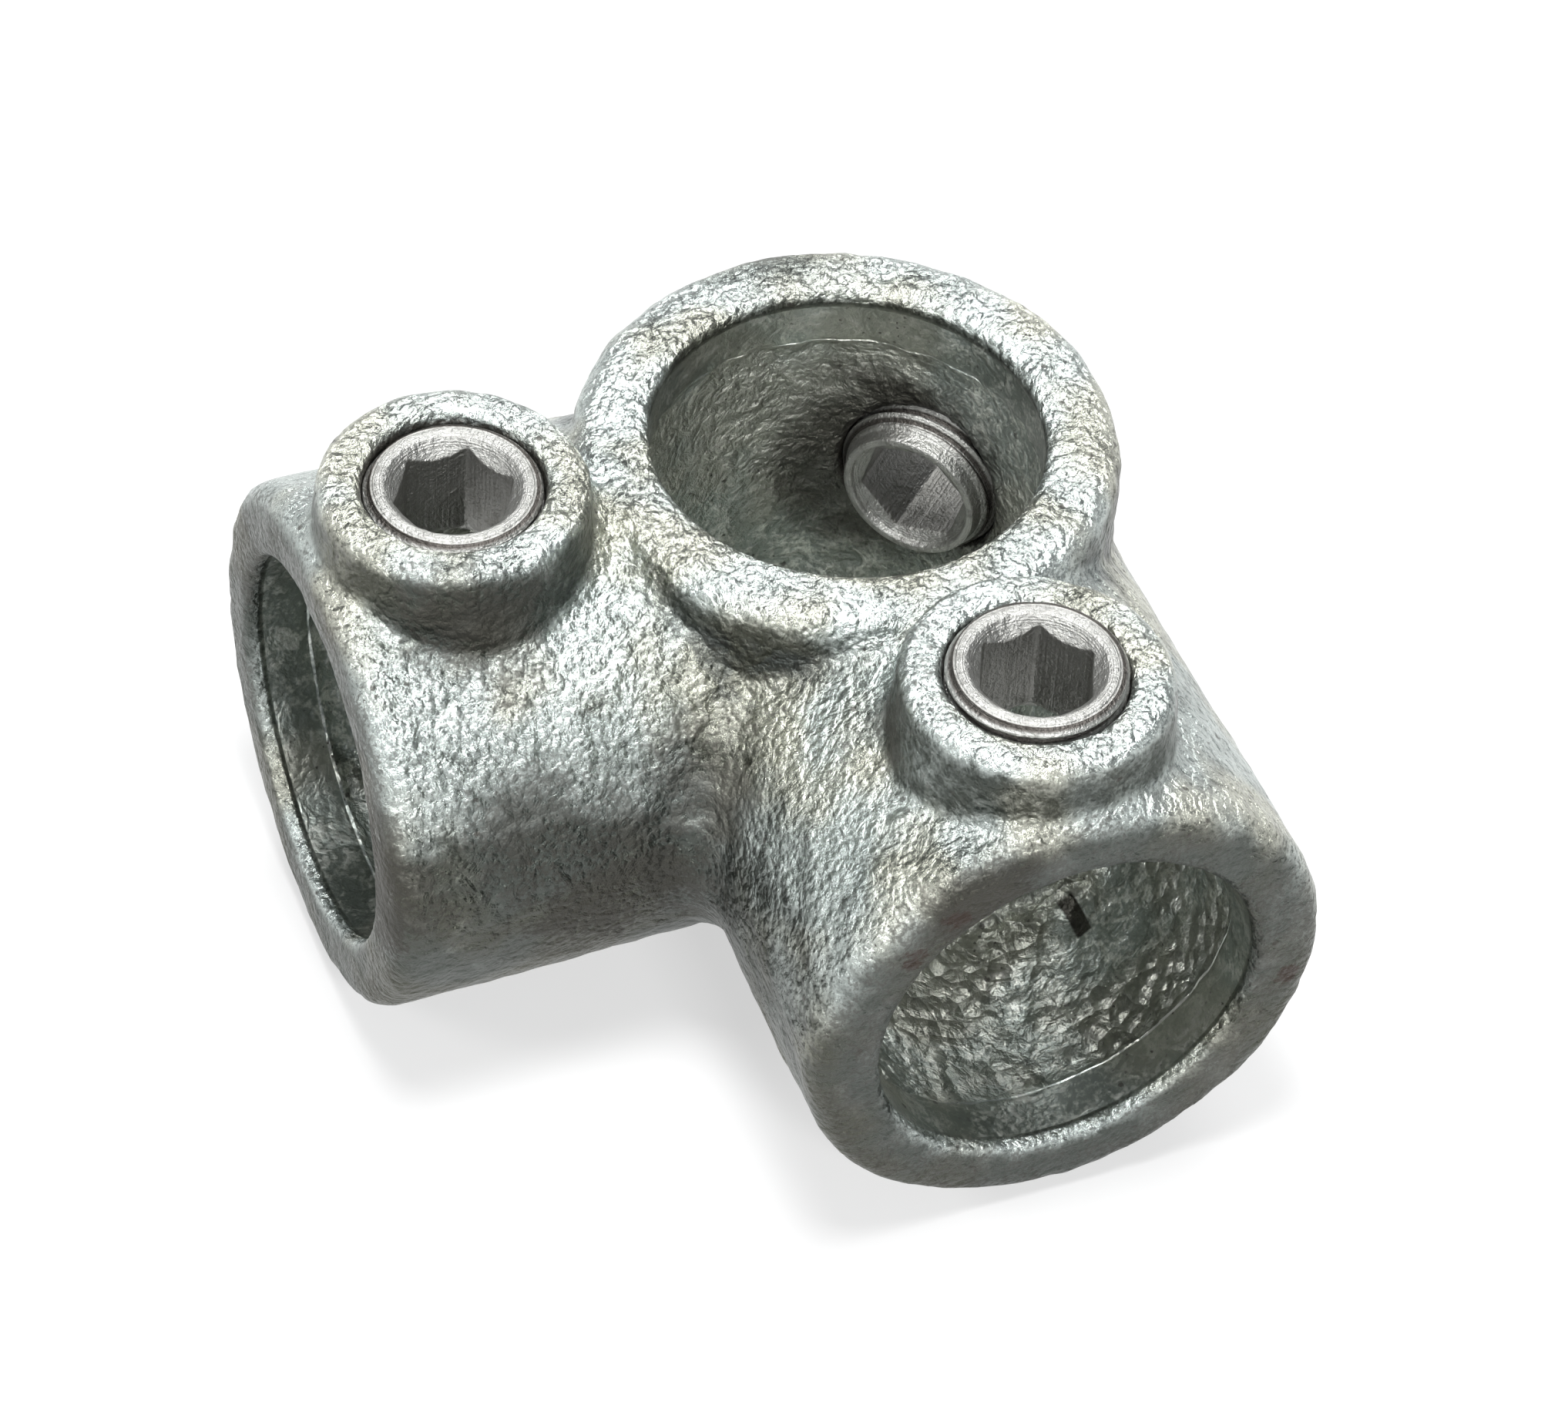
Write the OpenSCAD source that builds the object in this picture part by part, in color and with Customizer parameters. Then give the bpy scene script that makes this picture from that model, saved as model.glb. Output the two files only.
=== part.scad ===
// Corner fitting for handrail tube: one galvanised casting with an upright socket and two rail
// sockets at right angles, and a hollow hexagon set screw that locks the tube in each socket.
// Millimetres. The origin is where the left rail's axis crosses the upright's axis. The upright
// socket opens along +Z, the left rail's along -X and the front rail's along -Y.

/* [Tube] */
// Outside diameter of the tube that the sockets take
tube_d = 33.7; // [31:0.1:35]
// Difference between the diameters of the socket bore and the tube
tube_clearance = 1.5; // [0.8:0.1:2.2]

/* [Sockets] */
// Wall of the casting outside a rail's bore
socket_wall = 6.5; // [5.5:0.1:8]
// How much thicker the wall round the upright is
upright_wall_extra = 0.3; // [0.2:0.1:1]
// How much slimmer a rail socket is at the corner than at its mouth, on the radius
socket_taper = 0.8; // [0.3:0.1:1.2]
// Upright's axis to the mouth of each rail socket
rail_reach = 50.4; // [49:0.1:58]
// Rails' axes to the mouth of the upright socket
upright_reach = 24.2; // [23:0.1:30]
// How far the front rail's axis passes to the side of the upright's axis
front_rail_shift = 2.2; // [0:0.1:3]
// Length of the smooth land inside each mouth
land_len = 6; // [4:0.1:8]
// How far the rough cavity behind the land is cut back from the bore
relief = 0.9; // [0.5:0.1:1.2]
// Upright's axis to the shoulder on which a rail's tube stops
stop_reach = 26; // [24.5:0.1:28]
// How far that shoulder stands in from the bore
stop_step = 1.6; // [1.3:0.1:2.5]
// Rounding of the outer edge of each mouth
mouth_round = 2.4; // [1:0.1:3]
// Rounding of the inner edge of each mouth
mouth_break = 0.9; // [0.4:0.1:1.4]

/* [Corner] */
// Rounding of the closed end below the upright
corner_round = 14; // [11:0.5:16]
// How far the closed end reaches below the rails
corner_drop = 0.3; // [0.2:0.1:1]
// Thickness of the floor below the upright's tube
floor_t = 6.6; // [5:0.1:8]
// Radius of the cast fillets where two sockets meet
valley_fillet = 4.5; // [3:0.1:6]

/* [Bosses] */
// Upright's axis to the axis of each rail's set screw
boss_reach = 37; // [36:0.1:38]
// Tube axis to the face of its boss
boss_height = 29.6; // [29:0.1:32]
// Diameter of a boss at its face
boss_d = 24; // [22.5:0.1:25]
// Draft of the boss's side, in degrees
boss_draft = 3; // [1:0.5:5]
// Rounding of the edge of the boss's face
boss_round = 1.3; // [0.6:0.1:1.6]
// Radius of the cast fillet round the foot of a boss
boss_fillet = 3; // [2:0.1:3.5]
// Direction of the upright's set screw, from +X towards +Y, in degrees
upright_screw_angle = 42; // [38:1:52]
// Height of the upright's set screw above the rails' axes
upright_screw_height = 2.5; // [0:0.1:5]

/* [Set screws] */
// Diameter of a set screw at half the depth of its thread
screw_d = 15.8; // [14.5:0.1:17]
// Length of a set screw
screw_len = 11.4; // [10:0.1:11.9]
// Running clearance between a screw and its hole, on the radius
screw_gap = 0.08; // [0.04:0.01:0.1]
// Distance across the flats of the hexagon hole
hex_af = 9.5; // [8:0.1:10]
// How far the left rail's screw stands out of its boss
left_screw_out = -0.4; // [-0.6:0.1:2]
// How far the front rail's screw stands out of its boss
front_screw_out = 0.7; // [-0.6:0.1:2]
// Upright's screw stands out of its boss by this much
upright_screw_out = -3.1; // [-4:0.1:2]

/* [Slot] */
// Width of the short slot in the floor of the front socket
slot_w = 1.8; // [1.2:0.1:2.6]
// Length of the slot
slot_len = 4.2; // [3:0.1:6]
// Depth of the slot into the wall
slot_depth = 3; // [2:0.1:4]
// Place of the slot round the socket, from +X, in degrees
slot_angle = -54; // [-70:1:-40]

/* [Hidden] */
casting_colour = [0.70, 0.71, 0.70];
screw_colour = [0.58, 0.58, 0.57];
bore_r = (tube_d + tube_clearance) / 2;
relief_r = bore_r + relief;
stop_r = bore_r - stop_step;
rail_r = bore_r + socket_wall;
upright_r = rail_r + upright_wall_extra;
corner_bottom = rail_r + corner_drop;
pocket_bottom = corner_bottom - floor_t;
pocket_round = corner_round - socket_wall;
screw_r = screw_d / 2;
hole_r = screw_r + screw_gap;
boss_r = boss_d / 2;
// Sides of a full turn, and of the small arcs in the profiles
turn_steps = 96;
edge_steps = 5;
end_steps = 9;
// A blend dips this far below the surfaces that it joins, so that it cuts them cleanly
blend_dip = 0.15;
// Steps across a blend, and its spacing round a boss, in degrees
blend_steps = 4;
boss_pitch = 12;
// Cutters run this far past the faces that they open
over = 1;

function unit(v) = v / norm(v);
function arc(centre, r, from, to, steps) =
    [for (i = [0:steps]) let (a = from + (to - from) * i / steps) centre + r * [cos(a), sin(a)]];

// Section of a rolling-ball blend: the ball's arc between its two points of contact, closed by
// one point inside the casting
function blend_section(centre, r, a, b) =
    let (u = unit(a - centre), v = unit(b - centre), sweep = acos(u * v))
    concat(
        [for (i = [0:blend_steps]) let (t = i / blend_steps)
            centre + (r + blend_dip) * (sin((1 - t) * sweep) * u + sin(t * sweep) * v) / sin(sweep)],
        [centre + (1.4 * r + 1.2) * unit(u + v)]);

// Share of a blend's full radius at a place along it; it dwindles over a stretch at either end
function fade(t, first, last) =
    0.15 + 0.85 * min(1, first > 0 ? t / first : 1, last > 0 ? (1 - t) / last : 1);

// Solid skin over rows of points, closed into a ring or capped at both ends
module loft(rows, ring = false) {
    n = len(rows);
    m = len(rows[0]);
    sides = [for (i = [0:n - (ring ? 1 : 2)], j = [0:m - 1])
        let (k = (i + 1) % n, l = (j + 1) % m)
        each [[i * m + j, i * m + l, k * m + l], [i * m + j, k * m + l, k * m + j]]];
    caps = ring ? [] : [[for (j = [m - 1:-1:0]) j], [for (j = [0:m - 1]) (n - 1) * m + j]];
    polyhedron([for (row = rows) each row], concat(sides, caps));
}

// Outside radius of a tapered rail socket, at a distance from the corner
function rail_r_at(d) = rail_r - socket_taper * (rail_reach - d) / rail_reach;

// Outside of one rail socket, along +Z from its rounded inner end to its mouth
module rail_shell() {
    rotate_extrude($fn = turn_steps)
        polygon(concat(
            arc([0, 0], rail_r_at(0), -90, 0, end_steps),
            arc([rail_r - mouth_round, rail_reach - mouth_round], mouth_round, 0, 90, edge_steps),
            [[0, rail_reach]]));
}

// Outside of the upright socket, with the closed end that forms the corner's underside
module upright_shell() {
    rotate_extrude($fn = turn_steps)
        polygon(concat(
            [[0, -corner_bottom]],
            arc([upright_r - corner_round, corner_round - corner_bottom], corner_round, -90, 0, end_steps),
            arc([upright_r - mouth_round, upright_reach - mouth_round], mouth_round, 0, 90, edge_steps),
            [[0, upright_reach]]));
}

// Points of a bore's profile from the back of its land to past its mouth
function mouth_points(reach) = concat(
    [[relief_r, reach - land_len - relief], [bore_r, reach - land_len]],
    [for (p = arc([bore_r + mouth_break, reach - mouth_break], mouth_break, 180, 90, edge_steps)) p],
    [[bore_r + mouth_break, reach + over], [0, reach + over]]);

// Rail's bore: land, rough cavity, shoulder for the tube and way through to the corner
module rail_bore() {
    rotate_extrude($fn = turn_steps)
        polygon(concat(
            [[0, 2], [stop_r, 2], [stop_r, stop_reach], [relief_r, stop_reach + relief / 2]],
            mouth_points(rail_reach)));
}

// Upright's bore, with the dished floor of its blind end
module upright_bore() {
    rotate_extrude($fn = turn_steps)
        polygon(concat(
            [[0, -pocket_bottom]],
            arc([relief_r - pocket_round, pocket_round - pocket_bottom], pocket_round, -90, 0, end_steps),
            mouth_points(upright_reach)));
}

// Radius of a drafted boss at a height above its tube's axis
function boss_r_at(h) = boss_r + (boss_height - h) * tan(boss_draft);

// Ball of radius b at a boss's foot, at an angle from the direction away from the mouth
function boss_row(shell_r, a, b) =
    let (reach = shell_r + b, r = boss_r_at(sqrt(reach ^ 2 - ((boss_r + b) * sin(a)) ^ 2)),
        out = r + b, z = sqrt(reach ^ 2 - (out * sin(a)) ^ 2), k = shell_r / reach)
    blend_section([out * cos(a), out * sin(a), z], b,
        [out * cos(a), out * sin(a) * k, z * k],
        [r * cos(a), r * sin(a), z]);

// Boss for a set screw, along +Z, on a socket that lies along X with its mouth towards -X. The
// blend runs all round its foot, or dies out where the boss meets the rounded edge of the mouth.
module boss(shell_r, all_round) {
    foot = bore_r * 0.8;
    turn = 125;
    n = 2 * round(turn / boss_pitch);
    rotate_extrude($fn = turn_steps)
        polygon(concat(
            [[0, foot], [boss_r_at(foot), foot]],
            arc([boss_r - boss_round, boss_height - boss_round], boss_round, boss_draft, 90, edge_steps),
            [[0, boss_height]]));
    if (all_round)
        loft([for (a = [0:boss_pitch:359]) boss_row(shell_r, a, boss_fillet)], ring = true);
    else
        loft([for (i = [0:n])
            boss_row(shell_r, turn * (2 * i / n - 1), boss_fillet * fade(i / n, 0.2, 0.2))]);
}

// Hole for a set screw, along +Z from inside its socket, with its countersunk mouth
module screw_hole() {
    countersink = 0.5;
    translate([0, 0, bore_r * 0.6])
        cylinder(r = hole_r, h = boss_height, $fn = turn_steps);
    translate([0, 0, boss_height - countersink])
        cylinder(r1 = hole_r, r2 = hole_r + countersink + over, h = countersink + over, $fn = turn_steps);
}

// Ball in the valley between the two rails; the angle is its height round the rails
function rails_row(a, b) =
    let (rail = rail_r_at((rail_r + b) * cos(a)), reach = rail + b, c = reach * cos(a),
        z = reach * sin(a), k = rail / reach, s = front_rail_shift)
    blend_section([s - c, -c, z], b, [s - c * k, -c, z * k], [s - c, -c * k, z * k]);

// Ball between the left rail and the upright, on the side of the corner where all three meet
function left_row(a, b) =
    let (rail = rail_r_at(0.8 * rail_r), reach = rail + b, y = -reach * cos(a), z = reach * sin(a),
        k = rail / reach, out = upright_r + b, x = sqrt(out ^ 2 - y ^ 2), q = upright_r / out)
    blend_section([-x, y, z], b, [-x * q, y * q, z], [-x, y * k, z * k]);

// Ball between the front rail and the upright, on the same side
function front_row(a, b) =
    let (rail = rail_r_at(0.8 * rail_r), reach = rail + b, c = reach * cos(a), z = reach * sin(a),
        k = rail / reach, s = front_rail_shift, out = upright_r + b, x = s - c,
        y = sqrt(out ^ 2 - x ^ 2), q = upright_r / out)
    blend_section([x, -y, z], b, [s - c * k, -y, z * k], [x * q, -y * q, z]);

// Cast fillets in the valleys between the sockets
module valleys() {
    f = valley_fillet;
    n = 12;
    m = 7;
    loft([for (i = [0:n]) rails_row(-60 + 109 * i / n, f * fade(i / n, 0.2, 0))]);
    loft([for (i = [0:m]) left_row(33 + 21 * i / m, f * fade(i / m, 0, 0.6))]);
    loft([for (i = [0:m]) front_row(33 + 21 * i / m, f * fade(i / m, 0, 0.6))]);
}

// Casting in one piece
module fitting_body() {
    color(casting_colour)
    difference() {
        union() {
            upright_shell();
            place_left() rail_shell();
            place_front() rail_shell();
            place_left_boss() boss(rail_r_at(boss_reach), false);
            place_front_boss() boss(rail_r_at(boss_reach), false);
            place_upright_boss() boss(upright_r, true);
            valleys();
        }
        upright_bore();
        place_left() rail_bore();
        place_front() rail_bore();
        place_left_boss() screw_hole();
        place_front_boss() screw_hole();
        place_upright_boss() screw_hole();
        front_slot();
    }
}

// Short blind slot at the foot of the front socket's shoulder
module front_slot() {
    translate([front_rail_shift, -stop_reach - relief / 2, 0])
        rotate([0, -slot_angle, 0])
        translate([relief_r - over, -slot_len, -slot_w / 2])
        cube([slot_depth + over, slot_len, slot_w]);
}

module place_left() {
    rotate([0, -90, 0]) children();
}

module place_front() {
    translate([front_rail_shift, 0, 0]) rotate([90, 0, 0]) children();
}

module place_left_boss() {
    translate([-boss_reach, 0, 0]) children();
}

module place_front_boss() {
    translate([front_rail_shift, -boss_reach, 0]) rotate([0, 0, 90]) children();
}

module place_upright_boss() {
    translate([0, 0, upright_screw_height])
        rotate([0, 0, upright_screw_angle])
        rotate([0, 90, 0])
        children();
}

// Hollow set screw, along +Z from its tip to its outer end
module set_screw() {
    tip_r = screw_r - 1.3;
    tip_len = 2.4;
    face_r = screw_r - 0.6;
    sink_r = hex_af / 2 + 1.3;
    sink_depth = 1.6;
    hex_r = hex_af / 2 / cos(30);
    color(screw_colour)
    difference() {
        rotate_extrude($fn = turn_steps)
            polygon([[0, 0], [tip_r, 0], [screw_r - 0.75, tip_len - 0.8], [screw_r, tip_len],
                [screw_r, screw_len - 0.7], [face_r, screw_len], [0, screw_len]]);
        translate([0, 0, -over])
            cylinder(r = hex_r, h = screw_len + 2 * over, $fn = 6);
        translate([0, 0, screw_len - sink_depth])
            cylinder(r1 = hex_af / 2, r2 = sink_r, h = sink_depth, $fn = turn_steps);
        translate([0, 0, -over])
            cylinder(r = hex_r + 0.35, h = over + 0.8, $fn = turn_steps);
    }
}

module left_rail_set_screw() {
    place_left_boss()
        translate([0, 0, boss_height + left_screw_out - screw_len])
        rotate([0, 0, 58])
        set_screw();
}

module front_rail_set_screw() {
    place_front_boss()
        translate([0, 0, boss_height + front_screw_out - screw_len])
        rotate([0, 0, -24])
        set_screw();
}

module upright_set_screw() {
    place_upright_boss()
        translate([0, 0, boss_height + upright_screw_out - screw_len])
        rotate([0, 0, 14])
        set_screw();
}

fitting_body();
upright_set_screw();
left_rail_set_screw();
front_rail_set_screw();
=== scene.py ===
"""Looks of a galvanised corner fitting for handrail tube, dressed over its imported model.

Lengths in this file are in millimetres unless a name ends in _m, and every piece is scaled to
metres once, when its mesh is made.
"""
import logging
import math
from dataclasses import dataclass, field
from enum import Enum
from typing import Sequence

import bpy
import numpy as np
from mathutils import Euler, Matrix, Vector, noise


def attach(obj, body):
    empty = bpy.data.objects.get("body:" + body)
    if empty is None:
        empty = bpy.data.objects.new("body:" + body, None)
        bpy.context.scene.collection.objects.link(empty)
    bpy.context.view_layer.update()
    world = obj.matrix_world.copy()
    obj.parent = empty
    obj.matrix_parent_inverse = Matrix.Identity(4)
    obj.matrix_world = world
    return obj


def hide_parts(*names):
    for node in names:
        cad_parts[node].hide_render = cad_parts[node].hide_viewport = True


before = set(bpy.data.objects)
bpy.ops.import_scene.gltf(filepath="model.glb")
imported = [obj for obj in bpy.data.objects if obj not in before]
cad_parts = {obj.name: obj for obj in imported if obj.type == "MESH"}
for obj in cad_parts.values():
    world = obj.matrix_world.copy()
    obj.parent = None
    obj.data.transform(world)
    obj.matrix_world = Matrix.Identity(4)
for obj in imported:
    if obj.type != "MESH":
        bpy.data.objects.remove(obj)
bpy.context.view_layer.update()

log = logging.getLogger("corner_fitting")

MM = 0.001
IMAGE_WIDTH = 2035
SENSOR_MM = 36.0
NOISE_SEED = 5

Colour = tuple[float, float, float]
Point = tuple[float, float, float]


class Maths(Enum):
    """Operations of a Math node that the finishes use."""

    ADD = "ADD"
    SUBTRACT = "SUBTRACT"
    MULTIPLY = "MULTIPLY"
    MINIMUM = "MINIMUM"
    MAXIMUM = "MAXIMUM"
    ABSOLUTE = "ABSOLUTE"
    SQUARE_ROOT = "SQRT"


class Value:
    """A number that varies over a surface: one output socket of a shader's node."""

    def __init__(self, shader: "Shader", socket: bpy.types.NodeSocket) -> None:
        """Wraps a socket.

        Args:
            shader: The shader that the socket's node belongs to.
            socket: The output socket.
        """
        self.shader = shader
        self.socket = socket

    def __add__(self, other: "Value | float") -> "Value":
        """Sum."""
        return self.shader.maths(Maths.ADD, self, other)

    __radd__ = __add__

    def __sub__(self, other: "Value | float") -> "Value":
        """Difference."""
        return self.shader.maths(Maths.SUBTRACT, self, other)

    def __rsub__(self, other: float) -> "Value":
        """Difference from a plain number."""
        return self.shader.maths(Maths.SUBTRACT, other, self)

    def __mul__(self, other: "Value | float") -> "Value":
        """Product."""
        return self.shader.maths(Maths.MULTIPLY, self, other)

    __rmul__ = __mul__

    def __abs__(self) -> "Value":
        """Size without its sign."""
        return self.shader.maths(Maths.ABSOLUTE, self)

    def root(self) -> "Value":
        """Square root."""
        return self.shader.maths(Maths.SQUARE_ROOT, self)

    def at_least(self, other: "Value | float") -> "Value":
        """The larger of this and another."""
        return self.shader.maths(Maths.MAXIMUM, self, other)

    def at_most(self, other: "Value | float") -> "Value":
        """The smaller of this and another."""
        return self.shader.maths(Maths.MINIMUM, self, other)

    def step(self, low: float, high: float) -> "Value":
        """Smooth rise from 0 at low to 1 at high, or a fall where high is below low.

        Args:
            low: Value at which the result is 0.
            high: Value at which the result is 1.

        Returns:
            The eased value.
        """
        settings = {"interpolation_type": "SMOOTHSTEP"}
        if low < high:
            inputs = {"Value": self, "From Min": low, "From Max": high}
            return self.shader.node("ShaderNodeMapRange", settings, inputs, "Result")
        inputs = {"Value": self, "From Min": high, "From Max": low, "To Min": 1.0, "To Max": 0.0}
        return self.shader.node("ShaderNodeMapRange", settings, inputs, "Result")


@dataclass(frozen=True)
class Place:
    """Coordinates of a surface point, in millimetres.

    Attributes:
        vector: All three as one vector.
        x: First coordinate.
        y: Second coordinate.
        z: Third coordinate.
        up: How far the surface there looks upwards, from -1 to 1.
    """

    vector: Value
    x: Value
    y: Value
    z: Value
    up: Value

    def near(self, point: Point) -> Value:
        """Distance from a fixed point."""
        dx, dy, dz = (a - b for a, b in zip((self.x, self.y, self.z), point))
        return (dx * dx + dy * dy + dz * dz).root()


class Shader:
    """Node tree of one material, built from expressions."""

    def __init__(self, name: str) -> None:
        """Makes an empty material.

        Args:
            name: Name of the material.
        """
        self.material = bpy.data.materials.new(name)
        self.material.use_nodes = True
        self.tree = self.material.node_tree
        self.tree.nodes.clear()

    def node(
        self,
        kind: str,
        settings: dict[str, object],
        inputs: dict[str | int, object],
        output: str | int = 0,
    ) -> Value:
        """Adds any node.

        Args:
            kind: Blender's type of the node.
            settings: Its settings, which are set first.
            inputs: Values or links of its sockets, by name or number.
            output: Socket to return.

        Returns:
            The node's output.
        """
        made = self.tree.nodes.new(kind)
        for name, value in settings.items():
            setattr(made, name, value)
        for name, value in inputs.items():
            socket = made.inputs[name]
            if isinstance(value, Value):
                self.tree.links.new(value.socket, socket)
            elif isinstance(value, tuple) and socket.type == "RGBA":
                socket.default_value = (*value, 1.0)
            else:
                socket.default_value = value
        return Value(self, made.outputs[output])

    def maths(self, operation: Maths, *terms: "Value | float") -> Value:
        """Adds a Math node.

        Args:
            operation: What it does.
            terms: Its values or links.

        Returns:
            The result.
        """
        return self.node("ShaderNodeMath", {"operation": operation.value}, dict(enumerate(terms)))

    def place(self) -> Place:
        """Coordinates on the object itself, in millimetres."""
        raw = self.node("ShaderNodeTexCoord", {}, {}, "Object")
        inputs = {"Vector": raw, "Scale": 1.0 / MM}
        vector = self.node("ShaderNodeVectorMath", {"operation": "SCALE"}, inputs)
        axes = (self.node("ShaderNodeSeparateXYZ", {}, {"Vector": vector}, axis) for axis in "XYZ")
        normal = self.node("ShaderNodeTexCoord", {}, {}, "Normal")
        return Place(vector, *axes, self.node("ShaderNodeSeparateXYZ", {}, {"Vector": normal}, "Z"))

    def crease(self, size: float) -> Value:
        """How much a place is sheltered by its surroundings, as ambient occlusion; the finish paints shade
        with it.

        Args:
            size: Distance over which they count, in millimetres.

        Returns:
            0 in the open, up to 1 in a deep crease.
        """
        settings = {"samples": 3, "only_local": True}
        return 1.0 - self.node("ShaderNodeAmbientOcclusion", settings, {"Distance": size * MM}, "AO")

    def vector(self, x: "Value | float", y: "Value | float", z: "Value | float") -> Value:
        """Joins three numbers into a vector."""
        return self.node("ShaderNodeCombineXYZ", {}, {"X": x, "Y": y, "Z": z}, "Vector")

    def clouds(
        self, where: Value, size: float, detail: float, rough: float, warp: float = 0.0
    ) -> Value:
        """Soft noise between 0 and 1.

        Args:
            where: Coordinates, in millimetres.
            size: Size of its patches, in millimetres.
            detail: Number of finer octaves.
            rough: Strength of the finer octaves.
            warp: Distortion.

        Returns:
            The noise.
        """
        inputs = {
            "Vector": where,
            "Scale": 1.0 / size,
            "Detail": detail,
            "Roughness": rough,
            "Distortion": warp,
        }
        return self.node("ShaderNodeTexNoise", {}, inputs, "Fac")

    def cells(self, where: Value, size: float) -> Value:
        """Distances from the centres of random cells.

        Args:
            where: Coordinates, in millimetres.
            size: Size of a cell, in millimetres.

        Returns:
            The distances, as shares of a cell.
        """
        return self.node("ShaderNodeTexVoronoi", {}, {"Vector": where, "Scale": 1.0 / size}, "Distance")

    def mix(self, share: "Value | float", first: "Value | Colour", second: "Value | Colour") -> Value:
        """Blends two colours.

        Args:
            share: 0 for the first, 1 for the second.
            first: Colour at 0.
            second: Colour at 1.

        Returns:
            The blended colour.
        """
        settings = {"data_type": "RGBA", "blend_type": "MIX", "clamp_factor": True}
        return self.node("ShaderNodeMix", settings, {0: share, 6: first, 7: second}, 2)

    def tint(self, colour: Value, share: "Value | float", by: "Value | Colour") -> Value:
        """Multiplies a colour by another, by a share."""
        settings = {"data_type": "RGBA", "blend_type": "MULTIPLY", "clamp_factor": True}
        return self.node("ShaderNodeMix", settings, {0: share, 6: colour, 7: by}, 2)

    def bump(self, height: Value, strength: float) -> Value:
        """Normal bent by a height.

        Args:
            height: Height, in millimetres.
            strength: Share of the height that shows.

        Returns:
            The bent normal.
        """
        inputs = {"Strength": strength, "Distance": MM, "Height": height}
        return self.node("ShaderNodeBump", {}, inputs, "Normal")

    def surface(self, inputs: dict[str | int, object]) -> bpy.types.Material:
        """Finishes the material with a Principled shader.

        Args:
            inputs: Values or links of the shader's sockets.

        Returns:
            The material.
        """
        body = self.node("ShaderNodeBsdfPrincipled", {}, inputs, "BSDF")
        return self.output(body)

    def output(self, body: Value) -> bpy.types.Material:
        """Links a shader to the material's output."""
        end = self.tree.nodes.new("ShaderNodeOutputMaterial")
        self.tree.links.new(body.socket, end.inputs["Surface"])
        return self.material


def spread(first: Value, second: Value) -> Value:
    """Distance from an axis, from the two offsets across it."""
    return (first * first + second * second).root()


@dataclass(frozen=True)
class Sockets:
    """Sizes of the casting that its finish and its skin read, as the solid has them.

    Attributes:
        bore: Radius of the socket bores.
        cavity: Radius of the rough cavity behind a land.
        wall: Outer radius of a rail socket; not used.
        rail: Upright's axis to a rail's mouth.
        upright: Rails' axes to the upright's mouth.
        shift: Offset of the front rail's axis.
        land: Length of a land.
        boss: Upright's axis to a rail boss's axis.
        boss_top: Height of a boss's face.
        hole: Radius of a screw hole.
        turn: Direction of the upright's screw, in degrees.
        lift: Height of the upright's screw.
        slot_turn: Angle of the front socket's slot below its right side, in degrees.
        slot_start: Inner end of the slot.
        slot_end: Outer end of the slot.
        left_out: How far the left rail's screw stands out of its boss.
        front_out: How far the front rail's screw stands out of its boss.
        upright_out: How far the upright's screw stands out of its boss.
    """

    bore: float = 17.6
    cavity: float = 18.5
    wall: float = 24.1
    rail: float = 50.4
    upright: float = 24.2
    shift: float = 2.2
    land: float = 6.0
    boss: float = 37.0
    boss_top: float = 29.6
    hole: float = 7.98
    turn: float = 42.0
    lift: float = 2.5
    slot_turn: float = 54.0
    slot_start: float = -26.4
    slot_end: float = -30.6
    left_out: float = -0.4
    front_out: float = 0.7
    upright_out: float = -3.1


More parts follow.
